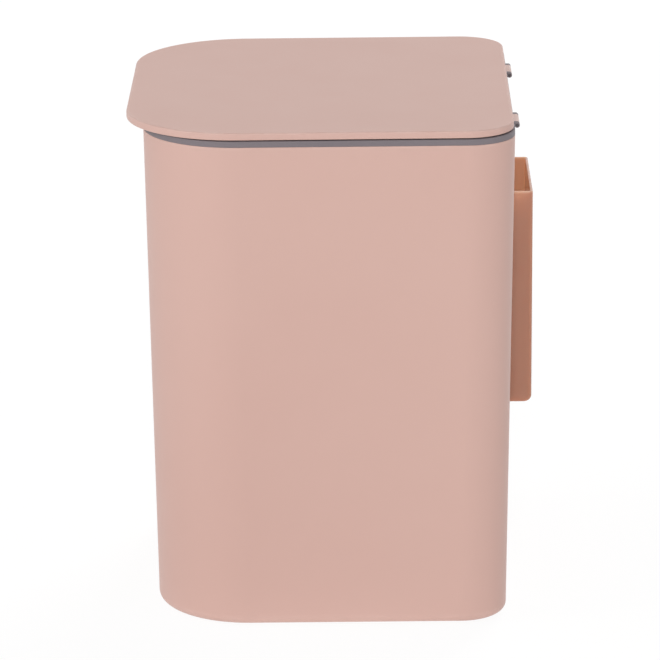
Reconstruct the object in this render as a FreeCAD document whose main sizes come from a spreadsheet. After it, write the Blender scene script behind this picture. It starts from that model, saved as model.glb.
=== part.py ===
import FreeCAD, Part
import math
import os
import re
import Sketcher

# Hinged-lid trash can: front towards -Y, width along X, +Z up, standing on Z = 0
doc = FreeCAD.newDocument("TrashCan")
sheet = doc.addObject("Spreadsheet::Sheet", "Sizes")

# Driving sizes: lengths in millimetres, shares of other sizes named as shares
sizes = [
    ("rim_width", 240.0, "tub across X at the rim"),
    ("rim_depth", 205.5, "tub along Y at the rim"),
    ("rim_front_radius", 53.3, "front corners of the tub"),
    ("rim_rear_radius", 26.0, "rear corners of the tub"),
    ("rear_offset", 101.6, "rear face at the rim, from the origin"),
    ("body_height", 277.1, "tub from its bottom edge to its rim"),
    ("side_inset", 4.0, "taper of each side from rim to bottom"),
    ("front_inset", 2.8, "taper of the front from rim to bottom"),
    ("rear_inset", 5.3, "taper of the rear from rim to bottom"),
    ("bottom_round", 4.8, "outer rounding of the bottom edge"),
    ("wall", 2.2, "tub wall"),
    ("floor_thickness", 2.5, "tub floor"),
    ("floor_bevel", 5.0, "inner bevel between floor and walls"),
    ("band_share", 1.25, "upright band above a softened bottom edge, as a share of its size"),
    ("stand_height", 2.5, "recess under the floor"),
    ("stand_width", 18.0, "standing ring round that recess"),
    ("floor_rib", 1.8, "ribs under the floor"),
    ("floor_rib_setback", 0.8, "those ribs end short of the standing ring"),
    ("floor_rib_share", 0.33, "their place, as a share of the half width or depth"),
    ("foot_diameter", 10.0, "non-slip pads"),
    ("foot_thickness", 2.2, "pad height"),
    ("foot_stand", 1.0, "how far the pads stand below the tub"),
    ("foot_inset", 11.4, "pad centre from the corner's outline"),
    ("ring_height", 3.4, "grey ring above the rim"),
    ("bag_gap", 0.9, "room for the bag between ring and tub"),
    ("skirt_thickness", 1.8, "ring's skirt inside the tub"),
    ("skirt_depth", 16.0, "depth of that skirt below the rim"),
    ("ring_bevel", 0.5, "bevel of the ring's outer top edge"),
    ("lid_gap", 0.6, "shadow gap between ring and lid"),
    ("lid_edge", 4.1, "height of the lid's edge"),
    ("lid_skin", 2.0, "lid's top wall"),
    ("lid_skirt", 1.8, "lid's edge wall"),
    ("lid_overhang", 9.7, "front lip past the tub"),
    ("lid_rear_setback", 0.7, "lid's rear edge in front of the tub's"),
    ("lid_front_radius", 63.0, "front corners of the lid"),
    ("lid_rear_radius", 26.6, "rear corners of the lid"),
    ("lid_top_round", 1.2, "rounding of the lid's top edge"),
    ("lid_low_bevel", 0.5, "bevel of the lid's lower edge"),
    ("lid_rib", 1.4, "ribs under the lid"),
    ("lid_rib_setback", 0.3, "those ribs end above the edge"),
    ("lid_rib_share", 0.4, "their place, as a share of the half width"),
    ("locating_depth", 3.0, "locating rim under the lid"),
    ("locating_wall", 1.6, "its wall"),
    ("locating_gap", 1.6, "its room inside the ring"),
    ("hinge_spacing", 123.6, "between the two hinges"),
    ("knuckle_length", 17.0, "lid's hinge knuckle"),
    ("ear_width", 3.5, "ring's hinge ear"),
    ("hinge_play", 0.3, "end play between knuckle and ear"),
    ("barrel_radius", 1.5, "knuckles and ears round the pin"),
    ("hinge_clear", 0.3, "between the barrels and the tub's rear wall"),
    ("arm_clear", 0.3, "hinge arm above the tub's rim"),
    ("arm_gap", 0.6, "room in front of a hinge arm"),
    ("pin_radius", 0.8, "hinge pin"),
    ("pin_seat_play", 0.02, "pin in the ears, radial"),
    ("pin_play", 0.06, "pin in the knuckle, radial"),
    ("bumper_spacing", 110.0, "between the two lid bumpers"),
    ("bumper_diameter", 4.0, "lid bumper"),
    ("bumper_seat", 0.7, "its depth in the lid"),
    ("bumper_play", 0.1, "between the closed lid's bumper and the ring"),
    ("boss_wall", 1.2, "boss wall round a bumper"),
    ("pocket_width", 81.0, "rear pocket across X"),
    ("pocket_height", 124.0, "rear pocket"),
    ("pocket_drop", 46.5, "its rim below the tub's rim"),
    ("pocket_reach", 11.95, "its rim behind the tub's rear face"),
    ("pocket_lean", 0.75, "its outer face leans in by this towards the bottom"),
    ("pocket_gap", 0.6, "between pocket and rear wall"),
    ("pocket_wall", 1.5, "pocket walls"),
    ("pocket_floor", 1.8, "pocket floor"),
    ("pocket_corner", 1.7, "its upright outer corners"),
    ("pocket_low_round", 3.8, "its lower outer edge"),
    ("pocket_rim_bevel", 0.4, "bevel of its rim"),
    ("lug_spacing", 44.0, "between the two hanging lugs"),
    ("lug_drop", 18.0, "lug centre below the pocket's rim"),
    ("lug_width", 4.0, "lug neck"),
    ("lug_height", 6.0, "lug"),
    ("lug_lip", 2.2, "lug head past its neck on each side"),
    ("lug_head", 1.5, "thickness of the head"),
    ("lug_play", 0.3, "room round a lug in its slot"),
    ("pocket_lift", 12.0, "lift that frees the lugs"),
    ("overrun", 2.0, "cuts run past the faces they open"),
]
for row, (name, size, note) in enumerate(sizes, start=1):
    sheet.set("A%d" % row, name)
    sheet.set("B%d" % row, str(size))
    sheet.set("C%d" % row, note)
    sheet.setAlias("B%d" % row, name)
doc.recompute()
size_names = {name for name, size, note in sizes}


def linked(text):
    # The same formula with every size name pointing at its cell
    def cell(match):
        word = match.group(0)
        return "Sizes." + word if word in size_names else word

    return re.sub(r"[a-z_]+", cell, text)


def value(text):
    return float(sheet.evalExpression(linked(text)))


def point(x, y):
    return FreeCAD.Vector(value(x), value(y), 0)


# Levels and faces that several pieces share
rim_level = "(foot_stand + body_height)"
floor_level = "(foot_stand + stand_height + floor_thickness)"
ring_top = "(%s + ring_height)" % rim_level
lid_low = "(%s + lid_gap)" % ring_top
lid_hollow = "(lid_edge - lid_skin)"
lid_back = "(rear_offset - lid_rear_setback)"
hinge_side = "(hinge_spacing / 2)"
hinge_half = "(knuckle_length / 2 + hinge_play + ear_width)"
hinge_y = "(rear_offset + hinge_clear + barrel_radius)"
arm_front = "(%s - lid_skirt)" % lid_back
skirt_inset = "(wall + bag_gap)"
mouth_inset = "(wall + bag_gap + skirt_thickness)"
bumper_y = "(rear_offset - rim_depth + %s / 2)" % mouth_inset
pocket_top = "(%s - pocket_drop)" % rim_level
pocket_low = "(%s - pocket_height)" % pocket_top
lug_level = "(%s - lug_drop)" % pocket_top


def tub_outline(level):
    # Half width, front, back, front radius and rear radius of the tub at a level
    taper = "(%s - %s) / body_height" % (rim_level, level)
    return (
        "rim_width / 2 - side_inset * %s" % taper,
        "rear_offset - rim_depth + front_inset * %s" % taper,
        "rear_offset - rear_inset * %s" % taper,
        "rim_front_radius",
        "rim_rear_radius",
    )


def inset(outline, step):
    half, front, back, front_radius, rear_radius = outline
    return (
        "%s - (%s)" % (half, step),
        "%s + (%s)" % (front, step),
        "%s - (%s)" % (back, step),
        "%s - (%s)" % (front_radius, step),
        "%s - (%s)" % (rear_radius, step),
    )


def rear_wall(level):
    return "(%s)" % tub_outline(level)[2]


lid_outline = (
    "rim_width / 2",
    "rear_offset - rim_depth - lid_overhang",
    lid_back,
    "lid_front_radius",
    "lid_rear_radius",
)


def new_body(label):
    body = doc.addObject("PartDesign::Body", label)
    body.Label = label
    return body


def origin_plane(body, role):
    return [plane for plane in body.Origin.OriginFeatures if plane.Role == role][0]


def new_sketch(body, name, role="XY_Plane", offset="0"):
    sketch = body.newObject("Sketcher::SketchObject", name)
    sketch.AttachmentSupport = [(origin_plane(body, role), "")]
    sketch.MapMode = "FlatFace"
    sketch.setExpression("AttachmentOffset.Base.z", linked(offset))
    return sketch


def set_size(sketch, kind, where, text):
    index = sketch.addConstraint(Sketcher.Constraint(kind, *where, value(text)))
    sketch.setExpression("Constraints[%d]" % index, linked(text))


def pin_point(sketch, kind, geometry, end, text):
    # Holds one end of a piece of geometry at a signed distance from the sketch's origin
    if value(text) < 0:
        set_size(sketch, kind, (geometry, end, -1, 1), "-(%s)" % text)
    else:
        set_size(sketch, kind, (-1, 1, geometry, end), text)


def add_lines(sketch, points):
    # A closed run of lines through the given points, returned as their first index
    first = sketch.GeometryCount
    count = len(points)
    for step in range(count):
        start = points[step]
        end = points[(step + 1) % count]
        sketch.addGeometry(Part.LineSegment(start, end))
    for step in range(count):
        joined = (first + step, 2, first + (step + 1) % count, 1)
        sketch.addConstraint(Sketcher.Constraint("Coincident", *joined))
    return first


def add_rectangle(sketch, left, right, low, high):
    corners = [point(left, low), point(right, low), point(right, high), point(left, high)]
    first = add_lines(sketch, corners)
    for step, kind in enumerate(("Horizontal", "Vertical", "Horizontal", "Vertical")):
        sketch.addConstraint(Sketcher.Constraint(kind, first + step))
    pin_point(sketch, "DistanceX", first, 1, left)
    pin_point(sketch, "DistanceX", first, 2, right)
    pin_point(sketch, "DistanceY", first, 1, low)
    pin_point(sketch, "DistanceY", first + 2, 1, high)


def add_polygon(sketch, corners):
    # A closed run of lines with every corner held by its own sizes
    first = add_lines(sketch, [point(x, y) for x, y in corners])
    for step, (x, y) in enumerate(corners):
        pin_point(sketch, "DistanceX", first + step, 1, x)
        pin_point(sketch, "DistanceY", first + step, 1, y)


def add_circle(sketch, x, y, radius):
    index = sketch.GeometryCount
    up = FreeCAD.Vector(0, 0, 1)
    sketch.addGeometry(Part.Circle(point(x, y), up, value(radius)))
    pin_point(sketch, "DistanceX", index, 3, x)
    pin_point(sketch, "DistanceY", index, 3, y)
    set_size(sketch, "Radius", (index,), radius)


def add_outline(sketch, outline):
    # Rounded rectangle, symmetric in X, with its own front and rear corner radii
    half, front, back, front_radius, rear_radius = outline
    w, f, b, rf, rr = [value(text) for text in outline]
    vector = FreeCAD.Vector
    runs = [
        (vector(rf - w, f), vector(w - rf, f)),
        (vector(w, f + rf), vector(w, b - rr)),
        (vector(w - rr, b), vector(rr - w, b)),
        (vector(-w, b - rr), vector(-w, f + rf)),
    ]
    bends = [
        (vector(w - rf, f + rf), rf, 270),
        (vector(w - rr, b - rr), rr, 0),
        (vector(rr - w, b - rr), rr, 90),
        (vector(rf - w, f + rf), rf, 180),
    ]
    first = sketch.GeometryCount
    up = vector(0, 0, 1)
    for (start, end), (centre, radius, angle) in zip(runs, bends):
        sketch.addGeometry(Part.LineSegment(start, end))
        circle = Part.Circle(centre, up, radius)
        sketch.addGeometry(Part.ArcOfCircle(circle, math.radians(angle), math.radians(angle + 90)))
    for step in range(8):
        joined = (first + step, 2, first + (step + 1) % 8, 1)
        sketch.addConstraint(Sketcher.Constraint("Tangent", *joined))
    for step, kind in enumerate(("Horizontal", "Vertical", "Horizontal", "Vertical")):
        sketch.addConstraint(Sketcher.Constraint(kind, first + 2 * step))
    sketch.addConstraint(Sketcher.Constraint("Equal", first + 1, first + 7))
    sketch.addConstraint(Sketcher.Constraint("Equal", first + 3, first + 5))
    set_size(sketch, "Radius", (first + 1,), front_radius)
    set_size(sketch, "Radius", (first + 3,), rear_radius)
    pin_point(sketch, "DistanceY", first, 1, front)
    pin_point(sketch, "DistanceY", first + 4, 1, back)
    pin_point(sketch, "DistanceX", first + 2, 1, half)
    pin_point(sketch, "DistanceX", first + 6, 1, "-(%s)" % half)


def outline_sketch(body, name, level, *outlines):
    sketch = new_sketch(body, name, offset=level)
    for outline in outlines:
        add_outline(sketch, outline)
    return sketch


def extrude(body, kind, name, sketch, length, flip=False, both=False):
    feature = body.newObject("PartDesign::" + kind, name)
    feature.Profile = sketch
    feature.setExpression("Length", linked(length))
    feature.Reversed = flip
    if both:
        feature.SideType = "Symmetric"
    doc.recompute()
    return feature


def loft(body, kind, name, first, last):
    # From the upper outline down, so that its edges take a rounding
    feature = body.newObject("PartDesign::" + kind, name)
    feature.Profile = first
    feature.Sections = [last]
    feature.Ruled = True
    doc.recompute()
    return feature


def soften(body, kind, name, size, chosen):
    # Fillet or Chamfer on the edges of the body that pass the test
    base = body.Tip
    edges = ["Edge%d" % n for n, edge in enumerate(base.Shape.Edges, start=1) if chosen(edge)]
    feature = body.newObject("PartDesign::" + kind, name)
    feature.Base = (base, edges)
    feature.setExpression("Radius" if kind == "Fillet" else "Size", linked(size))
    doc.recompute()
    return feature


def mirror(body, name, features):
    feature = body.newObject("PartDesign::Mirrored", name)
    feature.Originals = features
    feature.MirrorPlane = (origin_plane(body, "YZ_Plane"), [""])
    body.Tip = feature
    doc.recompute()
    return feature


near = 1e-4


def lies_flat(edge, level):
    box = edge.BoundBox
    return abs(box.ZMin - value(level)) < near and abs(box.ZMax - value(level)) < near


# Tub
def make_body_shell():
    body = new_body("body_shell")
    band = "bottom_round * band_share"
    level = "(foot_stand + %s)" % band
    low = outline_sketch(body, "TubBottom", level, tub_outline(level))
    rim = outline_sketch(body, "TubRim", rim_level, tub_outline(rim_level))
    loft(body, "AdditiveLoft", "TubOutside", rim, low)
    extrude(body, "Pad", "TubBand", low, band, flip=True)
    soften(body, "Fillet", "TubBottomRound", "bottom_round", lambda e: lies_flat(e, "foot_stand"))
    band = "floor_bevel * band_share"
    level = "(%s + %s)" % (floor_level, band)
    floor = outline_sketch(body, "CavityFloor", level, inset(tub_outline(level), "wall"))
    mouth = outline_sketch(body, "CavityMouth", rim_level, inset(tub_outline(rim_level), "wall"))
    loft(body, "SubtractiveLoft", "TubCavity", mouth, floor)
    extrude(body, "Pocket", "CavityBand", floor, band)
    soften(body, "Chamfer", "CavityFloorBevel", "floor_bevel", lambda e: lies_flat(e, floor_level))
    recess = inset(tub_outline("foot_stand"), "stand_width")
    under = outline_sketch(body, "StandRecess", "foot_stand", recess)
    extrude(body, "Pocket", "StandRecessCut", under, "stand_height", flip=True)
    ribs = new_sketch(body, "FloorRibs", offset="foot_stand + floor_rib_setback")
    half, front, back = recess[:3]
    for side in ("-", ""):
        x = "%sfloor_rib_share * (%s)" % (side, half)
        edges = (x + " - floor_rib / 2", x + " + floor_rib / 2")
        add_rectangle(ribs, *edges, front + " - overrun", back + " + overrun")
    extrude(body, "Pad", "FloorRibPad", ribs, "stand_height - floor_rib_setback")
    seats = new_sketch(body, "FootSeats", offset="foot_stand")
    for x, y in foot_places().values():
        add_circle(seats, x, y, "foot_diameter / 2")
    extrude(body, "Pocket", "FootSeatCut", seats, "foot_thickness - foot_stand", flip=True)
    add_lugs(body)
    return body


def foot_places():
    # Pad centres on the diagonals of the bottom's corners
    half, front, back, front_radius, rear_radius = tub_outline("foot_stand")
    front_step = "(%s - (%s - foot_inset) * sqrt(0.5))" % (front_radius, front_radius)
    rear_step = "(%s - (%s - foot_inset) * sqrt(0.5))" % (rear_radius, rear_radius)
    front_y = "%s + %s" % (front, front_step)
    rear_y = "%s - %s" % (back, rear_step)
    return {
        "front_left": ("-(%s - %s)" % (half, front_step), front_y),
        "front_right": ("%s - %s" % (half, front_step), front_y),
        "rear_left": ("-(%s - %s)" % (half, rear_step), rear_y),
        "rear_right": ("%s - %s" % (half, rear_step), rear_y),
    }


def add_lugs(body):
    # Two T-shaped lugs that the pocket's keyhole slots hang on
    root = "(%s - wall / 2)" % rear_wall(lug_level)
    neck = "(wall / 2 + pocket_gap + pocket_wall + lug_play)"
    low = lug_level + " - lug_height / 2"
    high = lug_level + " + lug_height / 2"
    necks = new_sketch(body, "LugNecks", "XZ_Plane", "-%s" % root)
    heads = new_sketch(body, "LugHeads", "XZ_Plane", "-(%s + %s)" % (root, neck))
    for side in ("-", ""):
        x = side + "lug_spacing / 2"
        add_rectangle(necks, x + " - lug_width / 2", x + " + lug_width / 2", low, high)
        edges = (x + " - lug_width / 2 - lug_lip", x + " + lug_width / 2 + lug_lip")
        add_rectangle(heads, *edges, low, high)
    extrude(body, "Pad", "LugNeckPad", necks, neck, flip=True)
    extrude(body, "Pad", "LugHeadPad", heads, "lug_head", flip=True)


# Grey ring
def make_bag_ring():
    body = new_body("bag_ring")
    rim = tub_outline(rim_level)
    flange = outline_sketch(body, "RingFlange", rim_level, rim, inset(rim, mouth_inset))
    extrude(body, "Pad", "RingFlangePad", flange, "ring_height")
    skirt = outline_sketch(body, "RingSkirt", rim_level, inset(rim, skirt_inset), inset(rim, mouth_inset))
    extrude(body, "Pad", "RingSkirtPad", skirt, "skirt_depth", flip=True)
    reach = value("rim_width / 2 - %s / 2" % mouth_inset)
    front = value("rear_offset - rim_depth + %s / 2" % mouth_inset)
    back = value("rear_offset - %s / 2" % mouth_inset)

    def outer_top(edge):
        box = edge.BoundBox
        outside = box.XMax > reach or box.XMin < -reach or box.YMin < front or box.YMax > back
        return outside and lies_flat(edge, ring_top)

    soften(body, "Chamfer", "RingEdgeBevel", "ring_bevel", outer_top)
    # A bar behind the rim at each hinge, parted by the lid's arm into two ears
    web = new_sketch(body, "EarWeb", "YZ_Plane", hinge_side)
    add_rectangle(web, "rear_offset - wall", hinge_y, rim_level, rim_level + " + barrel_radius")
    web_pad = extrude(body, "Pad", "EarWebPad", web, "2 * " + hinge_half, both=True)
    barrel = new_sketch(body, "EarBarrel", "YZ_Plane", hinge_side)
    add_circle(barrel, hinge_y, rim_level, "barrel_radius")
    barrel_pad = extrude(body, "Pad", "EarBarrelPad", barrel, "2 * " + hinge_half, both=True)
    mirror(body, "EarMirror", [web_pad, barrel_pad])
    gaps = new_sketch(body, "ArmGaps", offset=rim_level + " - barrel_radius - overrun")
    for side in ("-", ""):
        x = side + hinge_side
        edges = (x + " - knuckle_length / 2 - hinge_play", x + " + knuckle_length / 2 + hinge_play")
        add_rectangle(gaps, *edges, arm_front + " - arm_gap", hinge_y + " + barrel_radius + overrun")
    extrude(body, "Pocket", "ArmGapCut", gaps, "barrel_radius + ring_height + 2 * overrun", flip=True)
    bore = new_sketch(body, "EarBore", "YZ_Plane")
    add_circle(bore, hinge_y, rim_level, "pin_radius + pin_seat_play")
    extrude(body, "Pocket", "EarBoreCut", bore, "rim_width", both=True)
    return body


# Lid
def make_lid():
    body = new_body("lid")
    plate = outline_sketch(body, "LidPlate", lid_low, lid_outline)
    extrude(body, "Pad", "LidPlatePad", plate, "lid_edge")
    soften(body, "Fillet", "LidTopRound", "lid_top_round", lambda e: lies_flat(e, lid_low + " + lid_edge"))
    soften(body, "Chamfer", "LidLowBevel", "lid_low_bevel", lambda e: lies_flat(e, lid_low))
    hollow = outline_sketch(body, "LidHollow", lid_low, inset(lid_outline, "lid_skirt"))
    extrude(body, "Pocket", "LidHollowCut", hollow, lid_hollow, flip=True)
    add_lid_ribs(body)
    mouth = inset(inset(tub_outline(rim_level), mouth_inset), "locating_gap")
    level = lid_low + " - locating_depth"
    locator = outline_sketch(body, "Locator", level, mouth, inset(mouth, "locating_wall"))
    extrude(body, "Pad", "LocatorPad", locator, "locating_depth + " + lid_hollow)
    arm = new_sketch(body, "HingeArm", "YZ_Plane", hinge_side)
    add_polygon(arm, arm_corners())
    arm_pad = extrude(body, "Pad", "HingeArmPad", arm, "knuckle_length", both=True)
    barrel = new_sketch(body, "Knuckle", "YZ_Plane", hinge_side)
    add_circle(barrel, hinge_y, rim_level, "barrel_radius")
    barrel_pad = extrude(body, "Pad", "KnucklePad", barrel, "knuckle_length", both=True)
    mirror(body, "HingeArmMirror", [arm_pad, barrel_pad])
    bore = new_sketch(body, "KnuckleBore", "YZ_Plane")
    add_circle(bore, hinge_y, rim_level, "pin_radius + pin_play")
    extrude(body, "Pocket", "KnuckleBoreCut", bore, "rim_width", both=True)
    bosses = new_sketch(body, "BumperBosses", offset=lid_low)
    seats = new_sketch(body, "BumperSeats", offset=lid_low)
    for side in ("-", ""):
        x = side + "bumper_spacing / 2"
        add_circle(bosses, x, bumper_y, "bumper_diameter / 2 + boss_wall")
        add_circle(seats, x, bumper_y, "bumper_diameter / 2")
    extrude(body, "Pad", "BumperBossPad", bosses, lid_hollow)
    extrude(body, "Pocket", "BumperSeatCut", seats, "bumper_seat", flip=True)
    return body


def add_lid_ribs(body):
    # Three ribs front to back and two across, inside the locating rim
    rim = inset(inset(tub_outline(rim_level), mouth_inset), "locating_gap + locating_wall / 2")
    half, front, back = rim[:3]
    length = "(%s - (%s))" % (back, front)
    along = new_sketch(body, "LidLongRibs", offset=lid_low + " + lid_rib_setback")
    across = new_sketch(body, "LidCrossRibs", offset=lid_low + " + lid_rib_setback")
    for share in ("-lid_rib_share", "0", "lid_rib_share"):
        x = "%s * (%s)" % (share, half)
        add_rectangle(along, x + " - lid_rib / 2", x + " + lid_rib / 2", front, back)
    for share in ("-lid_rib_share", "lid_rib_share"):
        y = "(%s + %s) / 2 + %s * %s / 2" % (front, back, share, length)
        add_rectangle(across, "-(%s)" % half, half, y + " - lid_rib / 2", y + " + lid_rib / 2")
    extrude(body, "Pad", "LidLongRibPad", along, lid_hollow + " - lid_rib_setback")
    extrude(body, "Pad", "LidCrossRibPad", across, lid_hollow + " - lid_rib_setback")


def arm_corners():
    # Down from the lid's rear edge, back over the tub's rim, and a square heel under the knuckle.
    # The heel meets the tub's rear wall just past the end of the lid's travel.
    high = lid_low + " + " + lid_hollow
    low = rim_level + " + arm_clear"
    top = rim_level + " + barrel_radius"
    heel_y = hinge_y + " + barrel_radius"
    heel_low = rim_level + " - barrel_radius"
    return [
        (arm_front, high),
        (arm_front, low),
        (hinge_y, low),
        (hinge_y, heel_low),
        (heel_y, heel_low),
        (heel_y, rim_level),
        (hinge_y, top),
        (lid_back, top),
        (lid_back, high),
    ]


def make_hinge_pin(side, sign):
    body = new_body("hinge_pin_" + side)
    circle = new_sketch(body, "Pin" + side, "YZ_Plane", sign + hinge_side)
    add_circle(circle, hinge_y, rim_level, "pin_radius")
    extrude(body, "Pad", "PinPad" + side, circle, "2 * " + hinge_half, both=True)
    return body


def make_lid_bumper(side, sign):
    body = new_body("lid_bumper_" + side)
    height = "(bumper_seat + lid_gap - bumper_play)"
    level = ring_top + " + bumper_play"
    circle = new_sketch(body, "Bumper" + side, offset=level)
    add_circle(circle, sign + "bumper_spacing / 2", bumper_y, "bumper_diameter / 2")
    extrude(body, "Pad", "BumperPad" + side, circle, height)
    return body


def make_foot_pad(corner, x, y):
    body = new_body("foot_pad_" + corner)
    circle = new_sketch(body, "Foot" + corner)
    add_circle(circle, x, y, "foot_diameter / 2")
    extrude(body, "Pad", "FootPad" + corner, circle, "foot_thickness")
    return body


# Rear pocket
def pocket_inner(level):
    # The pocket's inner face follows the tub's rear wall
    return "(%s + pocket_gap)" % rear_wall(level)


def pocket_outer(level):
    # Its outer face leans in towards the bottom
    return "(rear_offset + pocket_reach - pocket_lean * (%s - %s) / pocket_height)" % (pocket_top, level)


def pocket_profile(body, name, low, high, step):
    # Side view between two levels, drawn in from the outer faces by a step
    corners = [
        (pocket_inner(low) + " + " + step, low),
        (pocket_outer(low) + " - " + step, low),
        (pocket_outer(high) + " - " + step, high),
        (pocket_inner(high) + " + " + step, high),
    ]
    sketch = new_sketch(body, name, "YZ_Plane")
    add_polygon(sketch, corners)
    return sketch


def make_bag_pocket():
    body = new_body("bag_pocket")
    outside = pocket_profile(body, "PocketOutside", pocket_low, pocket_top, "0")
    extrude(body, "Pad", "PocketBlock", outside, "pocket_width", both=True)
    middle = value("rear_offset + pocket_reach / 2")

    def low_outer(edge):
        return edge.BoundBox.YMin > middle and lies_flat(edge, pocket_low)

    def upright(edge):
        return edge.BoundBox.XLength < near and edge.BoundBox.ZLength > near

    soften(body, "Fillet", "PocketLowRound", "pocket_low_round", low_outer)
    soften(body, "Fillet", "PocketCorners", "pocket_corner", upright)
    floor = pocket_low + " + pocket_floor"
    inside = pocket_profile(body, "PocketInside", floor, pocket_top + " + overrun", "pocket_wall")
    extrude(body, "Pocket", "PocketHollow", inside, "pocket_width - 2 * pocket_wall", both=True)
    soften(body, "Chamfer", "PocketRimBevel", "pocket_rim_bevel", lambda e: lies_flat(e, pocket_top))
    start = "-(rear_offset - rear_inset)"
    through = "rear_inset + pocket_gap + pocket_wall + overrun"
    slots = new_sketch(body, "NarrowSlots", "XZ_Plane", start)
    keyholes = new_sketch(body, "Keyholes", "XZ_Plane", start)
    high = lug_level + " + lug_height / 2 + lug_play"
    key_low = lug_level + " - lug_height / 2 - lug_play - pocket_lift"
    key_high = lug_level + " + lug_height / 2 + lug_play - pocket_lift"
    for side in ("-", ""):
        x = side + "lug_spacing / 2"
        neck = "lug_width / 2 + lug_play"
        add_rectangle(slots, "%s - (%s)" % (x, neck), "%s + %s" % (x, neck), key_low, high)
        head = "lug_width / 2 + lug_lip + lug_play"
        add_rectangle(keyholes, "%s - (%s)" % (x, head), "%s + %s" % (x, head), key_low, key_high)
    extrude(body, "Pocket", "NarrowSlotCut", slots, through)
    extrude(body, "Pocket", "KeyholeCut", keyholes, through)
    return body


pieces = [make_body_shell(), make_bag_ring(), make_lid(), make_bag_pocket()]
for side, sign in (("left", "-"), ("right", "")):
    pieces.append(make_hinge_pin(side, sign))
    pieces.append(make_lid_bumper(side, sign))
for corner, (x, y) in foot_places().items():
    pieces.append(make_foot_pad(corner, x, y))
doc.recompute()

for item in doc.Objects:
    if "Invalid" in item.State or "Error" in item.State:
        raise RuntimeError("%s did not build" % item.Name)
for piece in pieces:
    if piece.Shape.isNull() or not piece.Shape.isValid() or len(piece.Shape.Solids) != 1:
        raise RuntimeError("%s is not one sound solid" % piece.Label)

os.makedirs("parts", exist_ok=True)
for piece in pieces:
    piece.Shape.exportStep("parts/%s.step" % piece.Label)
    print("%-22s %10.1f mm3" % (piece.Label, piece.Shape.Volume))
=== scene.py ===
import math
import bmesh
import bpy
from mathutils import Matrix, Vector


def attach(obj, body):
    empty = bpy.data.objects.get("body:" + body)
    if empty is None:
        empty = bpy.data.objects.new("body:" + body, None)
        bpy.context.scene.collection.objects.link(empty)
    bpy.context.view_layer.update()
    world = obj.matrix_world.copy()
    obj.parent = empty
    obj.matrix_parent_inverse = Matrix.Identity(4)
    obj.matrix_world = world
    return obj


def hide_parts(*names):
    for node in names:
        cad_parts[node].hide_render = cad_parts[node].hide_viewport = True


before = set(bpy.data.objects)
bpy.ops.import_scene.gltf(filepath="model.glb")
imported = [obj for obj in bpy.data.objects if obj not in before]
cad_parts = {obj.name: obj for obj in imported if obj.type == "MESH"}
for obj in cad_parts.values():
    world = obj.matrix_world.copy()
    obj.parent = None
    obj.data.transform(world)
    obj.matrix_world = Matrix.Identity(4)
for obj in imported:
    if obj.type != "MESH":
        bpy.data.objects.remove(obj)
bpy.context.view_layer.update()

scene = bpy.context.scene
mm = 0.001  # sizes below are in millimetres unless a note says otherwise
print("frame loaded:", len(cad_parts), "nodes")

# Camera

photoView = {
    "lens": 237.48, "sensor": 36.0,
    "shiftX": -0.01608, "shiftY": -0.00821,
    "aim": (0.0, 3.971, 142.74), "distance": 2518.9,
    "pitch": 16.175, "yaw": -0.350, "roll": 0.665,  # degrees
}


def makeCamera(view):
    pitch, yaw, roll = [math.radians(view[key]) for key in ("pitch", "yaw", "roll")]
    flat = Vector((math.cos(yaw), -math.sin(yaw), 0))
    right = Vector((math.sin(yaw), math.cos(yaw), 0))
    ahead = -flat * math.cos(pitch) - Vector((0, 0, math.sin(pitch)))
    upright = -flat * math.sin(pitch) + Vector((0, 0, math.cos(pitch)))
    camX = right * math.cos(roll) - upright * math.sin(roll)
    camY = right * math.sin(roll) + upright * math.cos(roll)
    place = Vector(view["aim"]) * mm - ahead * view["distance"] * mm
    data = bpy.data.cameras.new("photoCamera")
    data.sensor_width = view["sensor"]
    data.lens = view["lens"]
    data.shift_x = view["shiftX"]
    data.shift_y = view["shiftY"]
    data.clip_end = 50.0
    camera = bpy.data.objects.new("photoCamera", data)
    turn = Matrix((camX, camY, -ahead)).transposed().to_4x4()
    camera.matrix_world = Matrix.Translation(place) @ turn
    scene.collection.objects.link(camera)
    scene.camera = camera


makeCamera(photoView)
print("camera set")

# Light and floor

studio = {
    "skyLight": 0.40, "background": 1.0,
    "floorColour": 0.92, "floorSize": 16.0, "floorGlow": 0.88, "glowStrength": 1.035,
    "bounce": 0.52, "bounceNear": 0.12, "bounceFar": 0.17,  # light thrown back by the floor
    "lampDistance": 4.0, "lampAim": (0.0, 0.0, 0.14),
    "lamps": {  # degrees from +X towards +Y, degrees up, size in metres, watts
        "frontPanel": (0.0, 20.0, 0.5, 58.0),
        "leftPanel": (-82.0, 26.0, 2.7, 39.0),
        "rearPanel": (160.0, 20.0, 1.6, 96.0),
    },
}


def spread(nodes, links, source, low, high, toLow, toHigh):
    span = nodes.new("ShaderNodeMapRange")
    for name, size in (("From Min", low), ("From Max", high), ("To Min", toLow), ("To Max", toHigh)):
        span.inputs[name].default_value = size
    links.new(source, span.inputs["Value"])
    return span.outputs["Result"]


def rayMask(nodes, links):
    # 1 for what the eye, a gloss or a clear body sees directly
    path = nodes.new("ShaderNodeLightPath")
    first = nodes.new("ShaderNodeMath")
    first.operation = "MAXIMUM"
    links.new(path.outputs["Is Camera Ray"], first.inputs[0])
    links.new(path.outputs["Is Glossy Ray"], first.inputs[1])
    second = nodes.new("ShaderNodeMath")
    second.operation = "MAXIMUM"
    links.new(first.outputs[0], second.inputs[0])
    links.new(path.outputs["Is Transmission Ray"], second.inputs[1])
    return second.outputs[0]


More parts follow.
